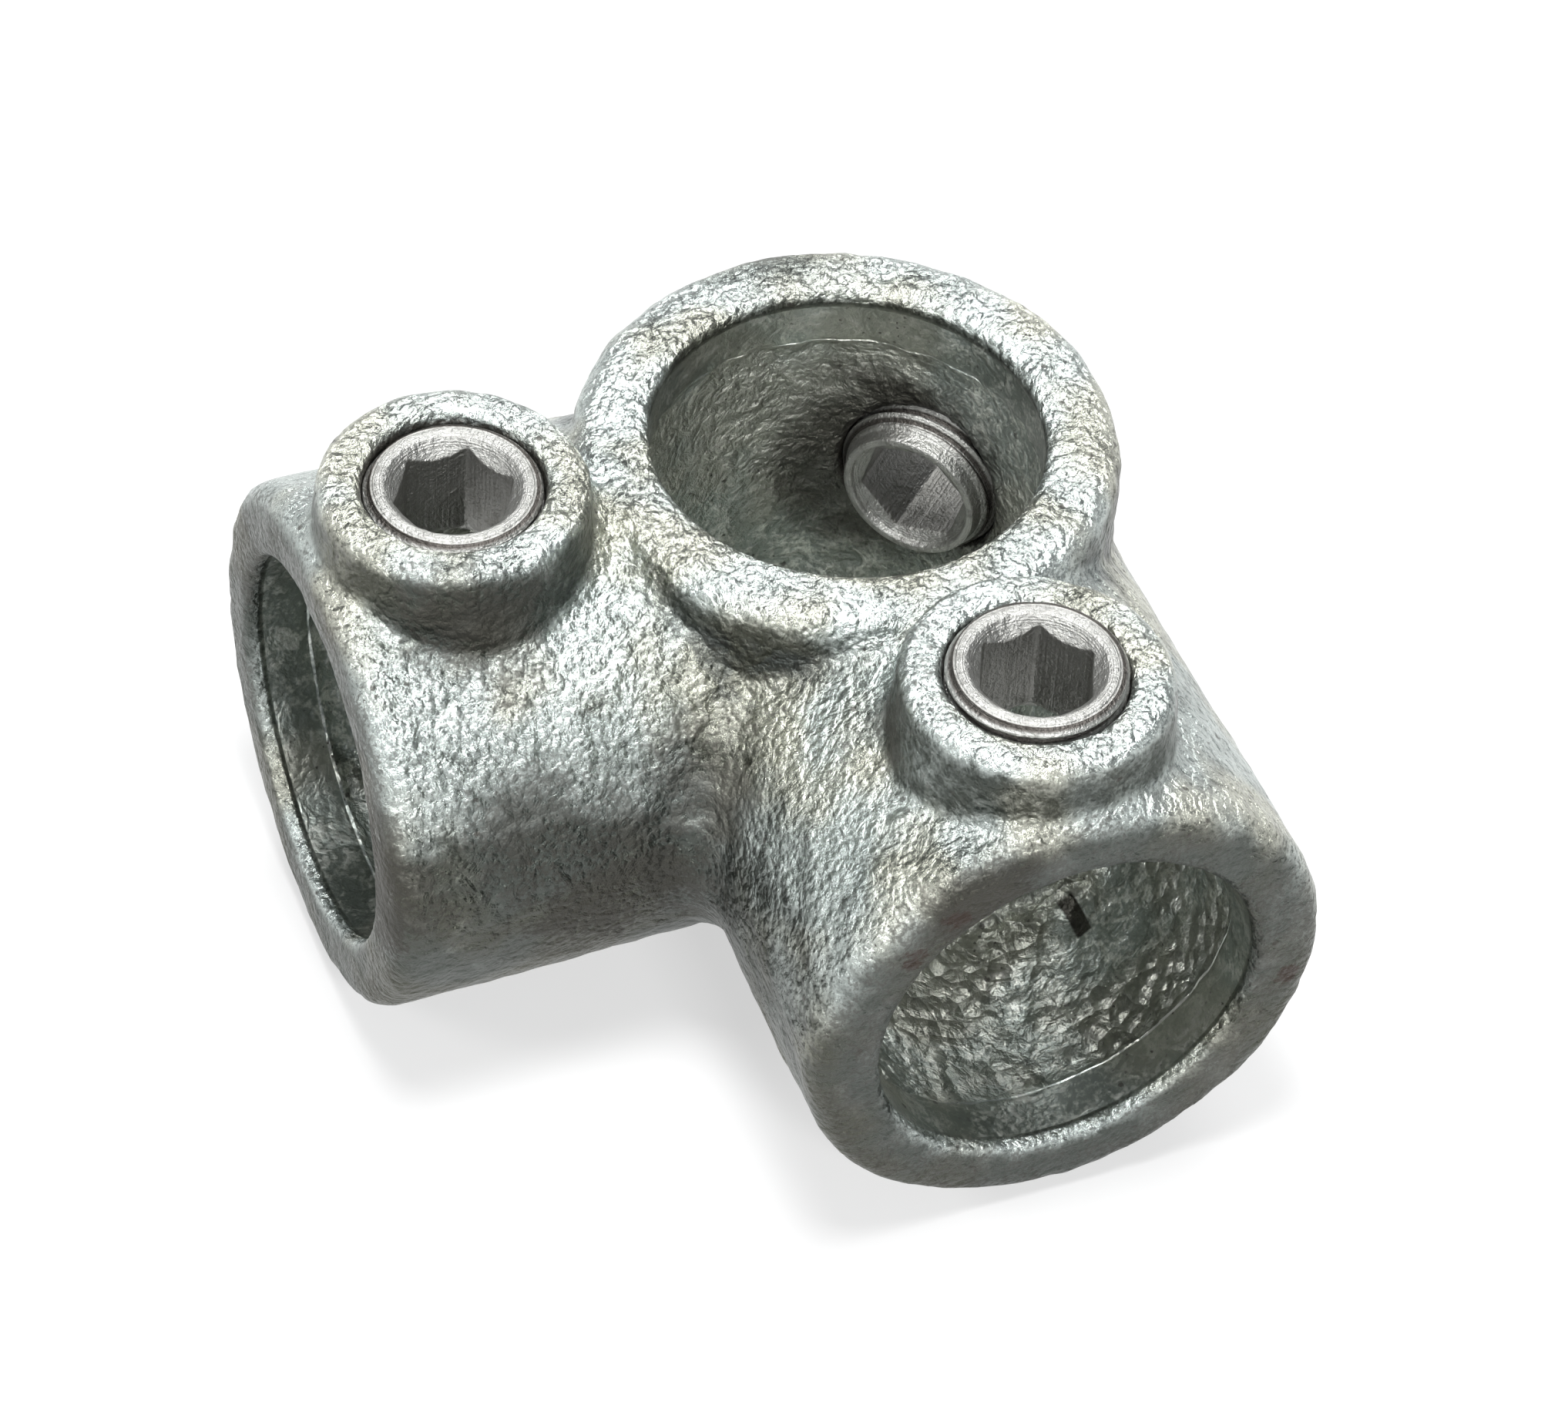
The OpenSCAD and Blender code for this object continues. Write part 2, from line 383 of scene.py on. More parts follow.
@dataclass(frozen=True)
class GalvanisedIron:
    """Bright, rough zinc over cast iron, with grime in its hollows and painted shade in its creases and
    holes.

    Attributes:
        bright: Colour of clean zinc, and of the painted light on faces that look up.
        dull_and_side_shade: Colour of zinc that has weathered, and of the painted shade on sides and
            undersides.
        shelter: Colour of the zinc inside the sockets.
        glint: Colour of the brighter grains there.
        warm: Colour of the patches there that have stained.
        fold_shade: Painted shade and dark reflection in the creases between sockets.
        dirt_and_shade: Colour of the grime in pits and corners, and of the painted shade in the screw
            holes, the slot and round the upright screw's tip.
        rust: Colour of the rust at worn edges.
        cold: Tint of the bluer patches.
        yellowed: Tint of the yellower patches.
        sizes: Sizes of the casting.
    """

    bright: Colour = (0.64, 0.67, 0.62)
    dull_and_side_shade: Colour = (0.09, 0.096, 0.083)
    shelter: Colour = (0.36, 0.40, 0.375)
    glint: Colour = (0.90, 0.93, 0.87)
    warm: Colour = (0.52, 0.51, 0.44)
    fold_shade: Colour = (0.062, 0.072, 0.074)
    dirt_and_shade: Colour = (0.05, 0.046, 0.038)
    rust: Colour = (0.035, 0.018, 0.011)
    cold: Colour = (0.86, 1.0, 1.12)
    yellowed: Colour = (1.1, 1.0, 0.8)
    sizes: Sockets = Sockets()

    def material(self) -> bpy.types.Material:
        """Builds the finish.

        Returns:
            The material.
        """
        s = Shader("galvanised_iron")
        p = s.place()
        inside = self._inside(s, p)
        land = self._lands(s, p) * inside
        hole_shade = self._painted_hole_shade(s, p)
        grain = s.clouds(p.vector, 0.45, 4.0, 0.6)
        pebbles = s.cells(p.vector, 0.85)
        lumps = s.clouds(p.vector, 2.4, 3.0, 0.6, 0.8)
        patches = s.clouds(p.vector, 8.0, 5.0, 0.65, 1.0)
        hues = s.clouds(p.vector, 12.0, 2.0, 0.5)
        pits = self._pits(s, p)
        crease = s.crease(7.0)
        # Share of a face that looks up, outside the sockets; it paints light on tops and shade on sides.
        lit_top_share = p.up.step(-0.2, 0.8) * (1.0 - inside)
        stains = self._stains(s, p)
        rim = self._rail_faces(p) * (1.0 - inside)
        tone = 0.9 * (patches - 0.5) + 0.5 * (lumps - 0.5) + 0.5 * (grain - 0.5)
        # Painted light and shade: faces that look up get a lighter tone, sides and undersides a darker
        # one.
        tone = tone + 0.46 * lit_top_share - 0.16 * stains
        dirty = 1.3 * (patches - 0.5) + 0.7 * (lumps - 0.5) + 1.4 * (grain - 0.5)
        dirty = dirty + 0.46 * stains + 0.2 * rim
        # Painted light: tops get a little less grime.
        grime = (dirty - 0.10 * lit_top_share).step(0.12, 0.42)
        colour = s.mix(tone.step(0.0, 0.56), self.dull_and_side_shade, self.bright)
        colour = s.tint(colour, 0.32, s.mix(hues.step(0.4, 0.6), self.cold, self.yellowed))
        shelter = s.mix((1.2 * (lumps - 0.5) + (grain - 0.5)).step(-0.1, 0.3), self.shelter, self.glint)
        shelter = s.mix(hues.step(0.42, 0.6) * 0.6, shelter, self.warm)
        colour = s.mix(inside * (0.9 - 0.15 * land), colour, shelter)
        rusty = self._rusty(s, p)
        # Painted shade and dark reflection: creases found by ambient occlusion, and the crease below the
        # upright's rim.
        painted_crease_shade = (crease * 1.5 - 0.42).at_least(0.0) * (1.0 - inside) + self._rim_crease_shade(s, p)
        colour = s.mix(painted_crease_shade.at_most(0.85), colour, self.fold_shade)
        colour = s.mix(grime * (0.72 - 0.3 * inside), colour, self.dirt_and_shade)
        # Painted shadow round the tip of the upright's screw.
        colour = s.mix(self._painted_tip_shadow(s, p), colour, self.dirt_and_shade)
        colour = s.mix(pits * 0.85, colour, self.dirt_and_shade)
        # Painted shade in the screw holes and in the slot at the back of the front socket.
        colour = s.mix(hole_shade.at_least(self._painted_slot_shade(p)) * 0.94, colour, self.dirt_and_shade)
        colour = s.mix(rusty, colour, self.rust)
        stained = (grime * 0.5 + pits * 0.8 + hole_shade + rusty).at_most(1.0)
        cavity = inside * (1.0 - land) * spread(p.x, p.y).step(20.0, 23.0)
        blobs = (1.0 - s.cells(p.vector, 1.9)) * (0.4 + 1.2 * hues.step(0.4, 0.6))
        height = lumps * 0.75 + (1.0 - pebbles) * (0.32 - 0.12 * inside) + grain * 0.26
        height = height + blobs * cavity * 0.9
        height = height * (1.0 - 0.72 * land) * (0.75 + 0.5 * hues.step(0.35, 0.65))
        return s.surface(
            {
                "Base Color": colour,
                "Metallic": 0.95 - 0.5 * stained,
                "Roughness": 0.21 + 0.06 * (1.0 - lit_top_share) + 0.22 * grime + 0.10 * grain,
                "Normal": s.bump(height, 1.0),
            }
        )

    def _rail_faces(self, p: Place) -> Value:
        """Where the surface is an end face of a rail socket."""
        z = self.sizes
        left = p.x.step(1.6 - z.rail, 0.4 - z.rail)
        return left.at_least(p.y.step(1.6 - z.rail, 0.4 - z.rail))

    def _rim_crease_shade(self, s: Shader, p: Place) -> Value:
        """Painted shade and dark reflection in the crease below the upright's rim, where its wall meets
        the rails.

        Args:
            s: The shader.
            p: Coordinates.

        Returns:
            Share of the painted shade's colour.
        """
        out = spread(p.x, p.y)
        broken = s.clouds(p.vector, 4.5, 3.0, 0.55, 0.8).step(0.36, 0.56)
        round_the_rim = out.step(27.6, 25.2) * out.step(23.6, 24.2)
        below_the_rim = p.z.step(21.4, 19.6) * p.z.step(9.0, 13.0)
        return 0.6 * round_the_rim * below_the_rim * broken

    def _painted_tip_shadow(self, s: Shader, p: Place) -> Value:
        """Painted shadow on the wall round the tip of the upright's screw, broken up by speckle.

        Args:
            s: The shader.
            p: Coordinates.

        Returns:
            Share of painted shadow.
        """
        turn = math.radians(self.sizes.turn)
        speckle = 5.0 * (s.clouds(p.vector, 1.3, 5.0, 0.7) - 0.5)
        speckle = speckle + 9.0 * (s.clouds(p.vector, 5.0, 2.0, 0.5) - 0.5)
        tip = (17.0 * math.cos(turn) - 1.5, 17.0 * math.sin(turn) + 1.5, self.sizes.lift)
        inner = spread(p.x, p.y).step(19.8, 19.2)
        return 0.86 * (p.near(tip) + speckle).step(15.0, 8.5) * inner

    def _painted_slot_shade(self, p: Place) -> Value:
        """Painted shade in the slot at the back of the front socket.

        Args:
            p: Coordinates.

        Returns:
            1 in the slot, 0 elsewhere.
        """
        z = self.sizes
        lean = math.radians(z.slot_turn)
        out = p.x - z.shift
        across = abs(out * math.sin(lean) + p.z * math.cos(lean)).step(0.95, 0.7)
        outward = (out * math.cos(lean) - p.z * math.sin(lean)).step(17.0, 17.6)
        begun = p.y.step(z.slot_start + 0.1, z.slot_start - 0.2)
        unfinished = p.y.step(z.slot_end - 0.2, z.slot_end + 0.1)
        return across * outward * begun * unfinished

    def _stains(self, s: Shader, p: Place) -> Value:
        """Broad brown stains at fixed places.

        Args:
            s: The shader.
            p: Coordinates.

        Returns:
            1 in the middle of a stain, 0 away from it.
        """
        z = self.sizes
        soft = 9.0 * (s.clouds(p.vector, 4.0, 3.0, 0.6) - 0.5)
        # Middle and reach of each stain
        places = (
            ((-30.0, -23.0, 1.0), 16.0),
            ((-38.0, -22.0, 7.0), 12.0),
            ((-21.0, -22.0, 9.0), 11.0),
            ((-40.0, -12.0, 24.0), 12.0),
            ((z.shift - 10.0, 5.0 - z.boss, 24.0), 9.0),
            ((2.0, 26.0, 24.0), 12.0),
            ((-50.0, -20.0, 4.0), 10.0),
            ((z.shift - 10.0, -z.rail, 19.0), 8.0),
        )
        found = [(p.near(place) + soft).step(size, 0.1 * size) for place, size in places]
        all_of_them = found[0]
        for one in found[1:]:
            all_of_them = all_of_them.at_least(one)
        return all_of_them

    def _pits(self, s: Shader, p: Place) -> Value:
        """Small dark pits that come in crowds.

        Args:
            s: The shader.
            p: Coordinates.

        Returns:
            1 in a pit, 0 elsewhere.
        """
        crowds = s.clouds(p.vector, 6.0, 3.0, 0.55)
        ragged = 0.5 * (s.clouds(p.vector, 0.3, 2.0, 0.6) - 0.5)
        fine = (s.cells(p.vector, 0.9) + ragged).step(0.20, 0.08) * crowds.step(0.44, 0.60)
        large = (s.cells(p.vector, 2.9) + 0.4 * ragged).step(0.13, 0.07) * crowds.step(0.42, 0.54)
        return fine.at_least(large)

    def _rusty(self, s: Shader, p: Place) -> Value:
        """Rust where the front socket's rim has worn.

        Args:
            s: The shader.
            p: Coordinates.

        Returns:
            Share of rust.
        """
        ragged = s.clouds(p.vector, 1.2, 3.0, 0.6)
        z = self.sizes
        places = (
            (z.shift - 15.5, -z.rail, 12.5),
            (z.shift - 12.0, -z.rail, 16.5),
            (z.shift + 21.0, -z.rail, -3.0),
        )
        found = [(p.near(place) + 4.0 * ragged).step(3.4, 2.8) for place in places]
        return 0.8 * found[0].at_least(found[1]).at_least(found[2])

    def _inside(self, s: Shader, p: Place) -> Value:
        """Where the surface is inside a socket.

        Args:
            s: The shader; not used.
            p: Coordinates.

        Returns:
            1 inside the sockets, 0 outside.
        """
        z = self.sizes
        limit = z.cavity + 1.4
        front = p.x - z.shift
        depth_rail = (1.2 - z.rail, 1.8 - z.rail)
        upright = spread(p.x, p.y).step(limit + 0.2, limit - 0.2) * p.z.step(-19.5, -18.5)
        upright = upright * p.z.step(z.upright - 1.2, z.upright - 1.8)
        left = spread(p.y, p.z).step(limit + 0.2, limit - 0.2) * p.x.step(4.0, 3.0)
        left = left * p.x.step(*depth_rail)
        ahead = spread(front, p.z).step(limit + 0.2, limit - 0.2) * p.y.step(4.0, 3.0)
        ahead = ahead * p.y.step(*depth_rail)
        return upright.at_least(left).at_least(ahead)

    def _lands(self, s: Shader, p: Place) -> Value:
        """Where the surface is within a land's length of a mouth.

        Args:
            s: The shader; not used.
            p: Coordinates.

        Returns:
            1 at the lands and mouths, 0 elsewhere.
        """
        z = self.sizes
        top = p.z.step(z.upright - z.land - 0.3, z.upright - z.land + 0.1)
        left = p.x.step(z.land + 0.3 - z.rail, z.land - 0.1 - z.rail)
        ahead = p.y.step(z.land + 0.3 - z.rail, z.land - 0.1 - z.rail)
        return top.at_least(left).at_least(ahead)

    def _painted_hole_shade(self, s: Shader, p: Place) -> Value:
        """Painted shade in ragged rings on the walls of the screw holes.

        Args:
            s: The shader.
            p: Coordinates.

        Returns:
            1 in the holes, 0 away from them.
        """
        z = self.sizes
        ragged = 0.9 * (s.clouds(p.vector, 0.8, 3.0, 0.6) - 0.5)
        ahead = p.x - z.shift
        along = p.y + z.boss
        beside = p.x + z.boss
        turn = math.radians(z.turn)
        across = p.x * math.sin(turn) - p.y * math.cos(turn)
        forth = p.x * math.cos(turn) + p.y * math.sin(turn)
        up = p.z - z.lift
        holes = (
            spread(beside, p.y) + ragged,
            spread(ahead, along) + ragged,
            spread(across, up) + ragged,
        )
        sunk = p.z.step(z.boss_top - 0.25, z.boss_top - 0.7)
        sides = (p.z.step(9.0, 12.0) * sunk, p.z.step(9.0, 12.0) * sunk, forth.step(9.0, 12.0))
        found = [hole.step(z.hole + 0.34, z.hole + 0.08) * side for hole, side in zip(holes, sides)]
        return found[0].at_least(found[1]).at_least(found[2])


@dataclass(frozen=True)
class ScrewSteel:
    """Satin machined steel with dark grime in its thread.

    Attributes:
        bright: Colour of a turned face.
        worn: Colour of rubbed and stained metal.
        grime: Colour of the grime in the thread.
        keyway: Colour of the hexagon's flats.
    """

    bright: Colour = (0.46, 0.46, 0.44)
    worn: Colour = (0.20, 0.195, 0.18)
    grime: Colour = (0.045, 0.036, 0.03)
    keyway: Colour = (0.21, 0.21, 0.195)

    def material(self) -> bpy.types.Material:
        """Builds the finish.

        Returns:
            The material.
        """
        s = Shader("screw_steel")
        p = s.place()
        radius = spread(p.x, p.y)
        stain = s.clouds(p.vector, 2.2, 4.0, 0.65, 0.5)
        fine = s.clouds(p.vector, 0.35, 3.0, 0.6)
        turned = s.clouds(s.vector(radius, 0.0, 0.0), 0.16, 2.0, 0.6)
        broached = s.clouds(s.vector(p.x, p.y, p.z * 0.04), 0.35, 2.0, 0.6)
        bore = radius.step(5.75, 5.6) * abs(p.up).step(0.5, 0.3)
        thread = radius.step(7.75, 7.45) * radius.step(7.0, 7.15)
        deep = radius.step(7.15, 7.25) * radius.step(7.7, 7.5)
        lines = bore * broached + (1.0 - bore) * turned
        dark = (0.55 * stain.step(0.5, 0.72) + 0.35 * bore + 0.35 * lines.step(0.45, 0.7)).at_most(1.0)
        colour = s.mix(dark, self.bright, self.worn)
        colour = s.mix(bore * 0.55, colour, self.keyway)
        colour = s.mix((deep * 0.75 + thread * 0.1).at_most(1.0), colour, self.grime)
        height = lines * 0.14 + fine * 0.2 + stain * 0.25
        return s.surface(
            {
                "Base Color": colour,
                "Metallic": 1.0,
                "Roughness": 0.33 + 0.2 * stain + 0.12 * dark,
                "Normal": s.bump(height, 0.9),
            }
        )


@dataclass(frozen=True)
class PaleFloor:
    """Plain white floor that shows white to the camera and still takes a light shadow.

    Attributes:
        colour: Colour of the floor.
        glow: Share of the plain white that the camera sees.
    """

    colour: Colour = (0.86, 0.86, 0.86)
    glow: float = 0.6

    def material(self) -> bpy.types.Material:
        """Builds the finish.

        Returns:
            The material.
        """
        s = Shader("pale_floor")
        lit = s.node("ShaderNodeBsdfDiffuse", {}, {"Color": self.colour})
        white = s.node("ShaderNodeEmission", {}, {"Color": (1.0, 1.0, 1.0), "Strength": 1.0})
        kinds = ("Camera", "Glossy", "Transmission")
        rays = [s.node("ShaderNodeLightPath", {}, {}, f"Is {kind} Ray") for kind in kinds]
        seen = rays[0].at_least(rays[1]).at_least(rays[2])
        return s.output(s.node("ShaderNodeMixShader", {}, {0: seen * self.glow, 1: lit, 2: white}))


def add_mesh(name: str, points: np.ndarray, faces: Sequence[Sequence[int]]) -> bpy.types.Object:
    """Makes a smooth-shaded object from points in millimetres.

    Args:
        name: Name of the piece.
        points: Its points, one a row.
        faces: Its faces.

    Returns:
        The object.
    """
    mesh = bpy.data.meshes.new(name)
    mesh.from_pydata((points * MM).tolist(), [], [list(f) for f in faces])
    mesh.validate()
    mesh.shade_smooth()
    piece = bpy.data.objects.new(name, mesh)
    bpy.context.scene.collection.objects.link(piece)
    return piece


@dataclass
class Casting:
    """Cast body: the solid's shape with the softness and the lumps of a real casting.

    Attributes:
        node: The solid that it stands for.
        body: The body that it rides on.
        grid: Spacing of the skin's points.
        wave: Height of the waves along a land's worn inner edge.
        clear: How far the wall of a screw hole stands back from the solid's.
        sizes: Sizes of the casting.
        finish: Its finish.
    """

    node: str = "fitting_body"
    body: str = "casting"
    grid: float = 0.64
    wave: float = 0.35
    clear: float = 0.05
    sizes: Sockets = field(default_factory=Sockets)
    finish: GalvanisedIron = field(default_factory=GalvanisedIron)

    def build(self) -> bpy.types.Object:
        """Builds, dresses and places the casting.

        Returns:
            The piece.
        """
        skin = self._skin()
        self._roughen(skin)
        skin.data.materials.clear()
        skin.data.materials.append(self.finish.material())
        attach(skin, self.body)
        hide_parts(self.node)
        return skin

    def _skin(self) -> bpy.types.Object:
        """Even, softened copy of the solid's surface.

        Returns:
            The object, with its mesh final apart from its lumps.
        """
        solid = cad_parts[self.node]
        rough = bpy.data.objects.new("casting_rough", solid.data.copy())
        bpy.context.scene.collection.objects.link(rough)
        even = rough.modifiers.new("even", "REMESH")
        even.mode, even.voxel_size, even.adaptivity = "VOXEL", self.grid * MM, 0.0
        soft = rough.modifiers.new("soft", "SMOOTH")
        soft.factor, soft.iterations = 0.5, 2
        graph = bpy.context.evaluated_depsgraph_get()
        mesh = bpy.data.meshes.new_from_object(rough.evaluated_get(graph))
        bpy.data.objects.remove(rough)
        mesh.name = "casting_skin"
        mesh.shade_smooth()
        skin = bpy.data.objects.new("casting_skin", mesh)
        bpy.context.scene.collection.objects.link(skin)
        return skin

    def _roughen(self, skin: bpy.types.Object) -> None:
        """Moves the skin's points along their normals by soft lumps and dents.

        Args:
            skin: The casting's skin, which is changed.
        """
        mesh = skin.data
        count = len(mesh.vertices)
        points = np.zeros(count * 3, np.float32)
        mesh.vertices.foreach_get("co", points)
        points = points.reshape(-1, 3) / MM
        normals = np.zeros(count * 3, np.float32)
        mesh.vertex_normals.foreach_get("vector", normals)
        normals = normals.reshape(-1, 3)
        height = np.array([self._lump(Vector(p)) for p in points], np.float32)
        height *= 1.0 - 0.85 * self._lands(points)
        wavy = np.array([noise.noise(Vector(p) * 0.55) for p in points], np.float32)
        height += self.wave * wavy * self._land_edges(points)
        height[self._holes(points)] = -self.clear
        points += normals * height[:, None]
        mesh.vertices.foreach_set("co", (points * MM).ravel())
        mesh.update()

    @staticmethod
    def _lump(point: Vector) -> float:
        """Height of the lumps at a point, in millimetres."""
        broad = noise.noise(point * 0.09) * 0.22
        middle = noise.noise(point * 0.27 + Vector((7.0, 1.0, 3.0))) * 0.16
        small = noise.noise(point * 0.62 + Vector((2.0, 9.0, 5.0))) * 0.10
        return broad + middle + small - 0.04

    def _land_edges(self, points: np.ndarray) -> np.ndarray:
        """Share of a point that belongs to the worn step at the back of a land.

        Args:
            points: Points, one a row.

        Returns:
            1 at such a point, 0 elsewhere.
        """
        z = self.sizes
        x, y, h = points.T
        step = (z.bore + z.cavity) / 2
        depths = (
            (np.hypot(x, y), h - (z.upright - z.land)),
            (np.hypot(y, h), -x - (z.rail - z.land)),
            (np.hypot(x - z.shift, h), -y - (z.rail - z.land)),
        )
        edges = [(np.abs(r - step) < 1.0) & (np.abs(d + 0.45) < 1.1) for r, d in depths]
        return np.any(edges, axis=0)

    def _lands(self, points: np.ndarray) -> np.ndarray:
        """Share of a point that belongs to a land, whose size matters.

        Args:
            points: Points, one a row.

        Returns:
            1 at such a point, 0 elsewhere.
        """
        z = self.sizes
        x, y, h = points.T
        near = z.bore + 0.35
        inner = -26.0
        lands = (
            (np.hypot(x, y) < near) & (h > 0),
            (np.hypot(y, h) < near) & (x < inner),
            (np.hypot(x - z.shift, h) < near) & (y < inner),
        )
        return np.any(lands, axis=0).astype(np.float32)

    def _holes(self, points: np.ndarray) -> np.ndarray:
        """Which points belong to a screw hole, that its screw must pass freely.

        Args:
            points: Points, one a row.

        Returns:
            True at such a point.
        """
        z = self.sizes
        x, y, h = points.T
        turn = math.radians(z.turn)
        across = x * math.sin(turn) - y * math.cos(turn)
        forth = x * math.cos(turn) + y * math.sin(turn)
        near = z.hole + 0.5
        start = 10.0
        holes = (
            (np.hypot(x + z.boss, y) < near) & (h > start),
            (np.hypot(x - z.shift, y + z.boss) < near) & (h > start),
            (np.hypot(across, h - z.lift) < near) & (forth > start),
        )
        return np.any(holes, axis=0)


@dataclass
class SetScrew:
    """Hollow set screw with its thread, along +Z from its tip to its outer end.

    Attributes:
        node: The solid that it stands for.
        body: The body that it rides on.
        tip: Middle of its tip face.
        outward: Direction from its tip to its outer end, as Euler angles in degrees.
        spin: Turn of its hexagon about its own axis, in degrees.
        length: Its length.
        crest: Radius of its thread.
        root: Radius between the thread's ridges.
        pitch: Rise of the thread in one turn.
        flats: Distance across the flats of the hexagon.
        sides: Points round the screw.
    """

    node: str
    body: str
    tip: Point
    outward: Point
    spin: float
    length: float = 11.4
    crest: float = 7.9
    root: float = 7.15
    pitch: float = 1.337
    flats: float = 9.5
    sides: int = 240

    def build(self, material: bpy.types.Material) -> bpy.types.Object:
        """Builds, dresses and places the screw.

        Args:
            material: Its finish, which the screws share.

        Returns:
            The piece.
        """
        rows = [*self._tip_rows(), *self._thread_rows(), *self._end_rows(), *self._key_rows()]
        points = np.concatenate(rows)
        faces = self._wrap(len(rows))
        piece = add_mesh(self.node.replace("set_screw", "threaded_screw"), points, faces)
        turn = Euler([math.radians(a) for a in self.outward]).to_matrix().to_4x4()
        spin = Matrix.Rotation(math.radians(self.spin), 4, "Z")
        piece.matrix_world = Matrix.Translation(Vector(self.tip) * MM) @ turn @ spin
        piece.data.materials.append(material)
        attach(piece, self.body)
        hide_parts(self.node)
        return piece

    @property
    def _angles(self) -> np.ndarray:
        """Angles of the points of a row."""
        return np.arange(self.sides) * 2 * math.pi / self.sides

    def _row(
        self, radius: "np.ndarray | float", height: "np.ndarray | float", rough: float = 0.02
    ) -> np.ndarray:
        """Points of one row, with a little unevenness.

        Args:
            radius: Radius at each angle, or one for all.
            height: Height at each angle, or one for all.
            rough: Size of the unevenness.

        Returns:
            The points, one a row.
        """
        a = self._angles
        r = np.broadcast_to(radius, a.shape)
        z = np.broadcast_to(height, a.shape)
        points = np.stack([r * np.cos(a), r * np.sin(a), z], 1)
        seed = Vector(self.tip)
        uneven = np.array([noise.noise_vector(Vector(p) * 0.9 + seed) for p in points]) * rough
        return points + uneven

    def _tip_rows(self) -> list[np.ndarray]:
        """Tip's countersink, face ring and shoulder."""
        hexagon = self._hexagon()
        sink = np.maximum(hexagon, self.flats / 2 + 1.1)
        # Radius and height of the face ring and of the shoulder up to the thread
        profile = (
            (6.02, 0.0),
            (6.3, 0.0),
            (6.52, 0.02),
            (6.6, 0.1),
            (6.66, 0.4),
            (6.72, 0.8),
            (6.78, 1.2),
            (6.86, 1.45),
            (7.02, 1.55),
            (7.15, 1.7),
        )
        return [
            self._row(np.maximum(hexagon, 5.72), 0.8),
            self._row(np.maximum(hexagon, 5.86), 0.35),
            self._row(sink + 0.05, 0.06),
            *(self._row(radius, height) for radius, height in profile),
        ]

    def _thread_rows(self) -> list[np.ndarray]:
        """Helical thread between the tip's shoulder and the outer chamfer."""
        start, end, count = 1.8, self.length - 0.25, 84
        rows = []
        for z in np.linspace(start, end, count):
            phase = (z / self.pitch - self._angles / (2 * math.pi)) % 1.0
            wave = np.clip(1.35 * (1.0 - np.abs(2.0 * phase - 1.0)) - 0.12, 0.0, 1.0)
            limit_tip = 7.2 + (z - start) * 1.1
            limit_end = 7.35 + (self.length - z) * 1.0
            radius = self.root + (self.crest - self.root) * wave
            rows.append(self._row(np.minimum(radius, min(limit_tip, limit_end)), z, 0.03))
        return rows

    def _end_rows(self) -> list[np.ndarray]:
        """Outer end's rim, shallow groove, raised ring and countersink."""
        # Radius and depth below the outer end
        profile = (
            (7.3, 0.12),
            (7.2, 0.1),
            (7.1, 0.16),
            (7.0, 0.06),
            (6.9, 0.0),
            (6.6, 0.0),
            (6.3, 0.01),
            (6.12, 0.05),
            (6.0, 0.16),
        )
        return [self._row(radius, self.length - depth) for radius, depth in profile]

    def _key_rows(self) -> list[np.ndarray]:
        """Countersink and flats of the hexagon hole, from the outer end to the tip."""
        hexagon = self._hexagon()
        top = self.length
        ring = [Vector((7 * math.cos(a), 7 * math.sin(a), self.spin)) for a in self._angles]
        ragged = 0.10 * np.array([noise.noise(place) for place in ring])
        rows = []
        for depth in np.linspace(0.25, 1.9, 16):
            cone = 6.0 - (depth - 0.1) * (1.25 / 1.5) + ragged
            rows.append(self._row(np.maximum(hexagon, cone), top - depth, 0.015))
        for z in np.linspace(top - 2.1, 0.95, 14):
            rows.append(self._row(hexagon, z, 0.03))
        return rows

    def _hexagon(self) -> np.ndarray:
        """Radius of the hexagon hole at each angle, with softened corners."""
        sector = np.abs((self._angles % (math.pi / 3)) - math.pi / 6)
        sharp = self.flats / 2 / np.cos(sector)
        return np.minimum(sharp, self.flats / 2 / math.cos(math.pi / 6) - 0.10)

    def _wrap(self, rows: int) -> list[tuple[int, int, int, int]]:
        """Faces of a grid that closes on itself both ways.

        Args:
            rows: Number of rows.

        Returns:
            The faces.
        """
        n = self.sides
        return [
            (i * n + j, i * n + (j + 1) % n, (i + 1) % rows * n + (j + 1) % n, (i + 1) % rows * n + j)
            for i in range(rows)
            for j in range(n)
        ]


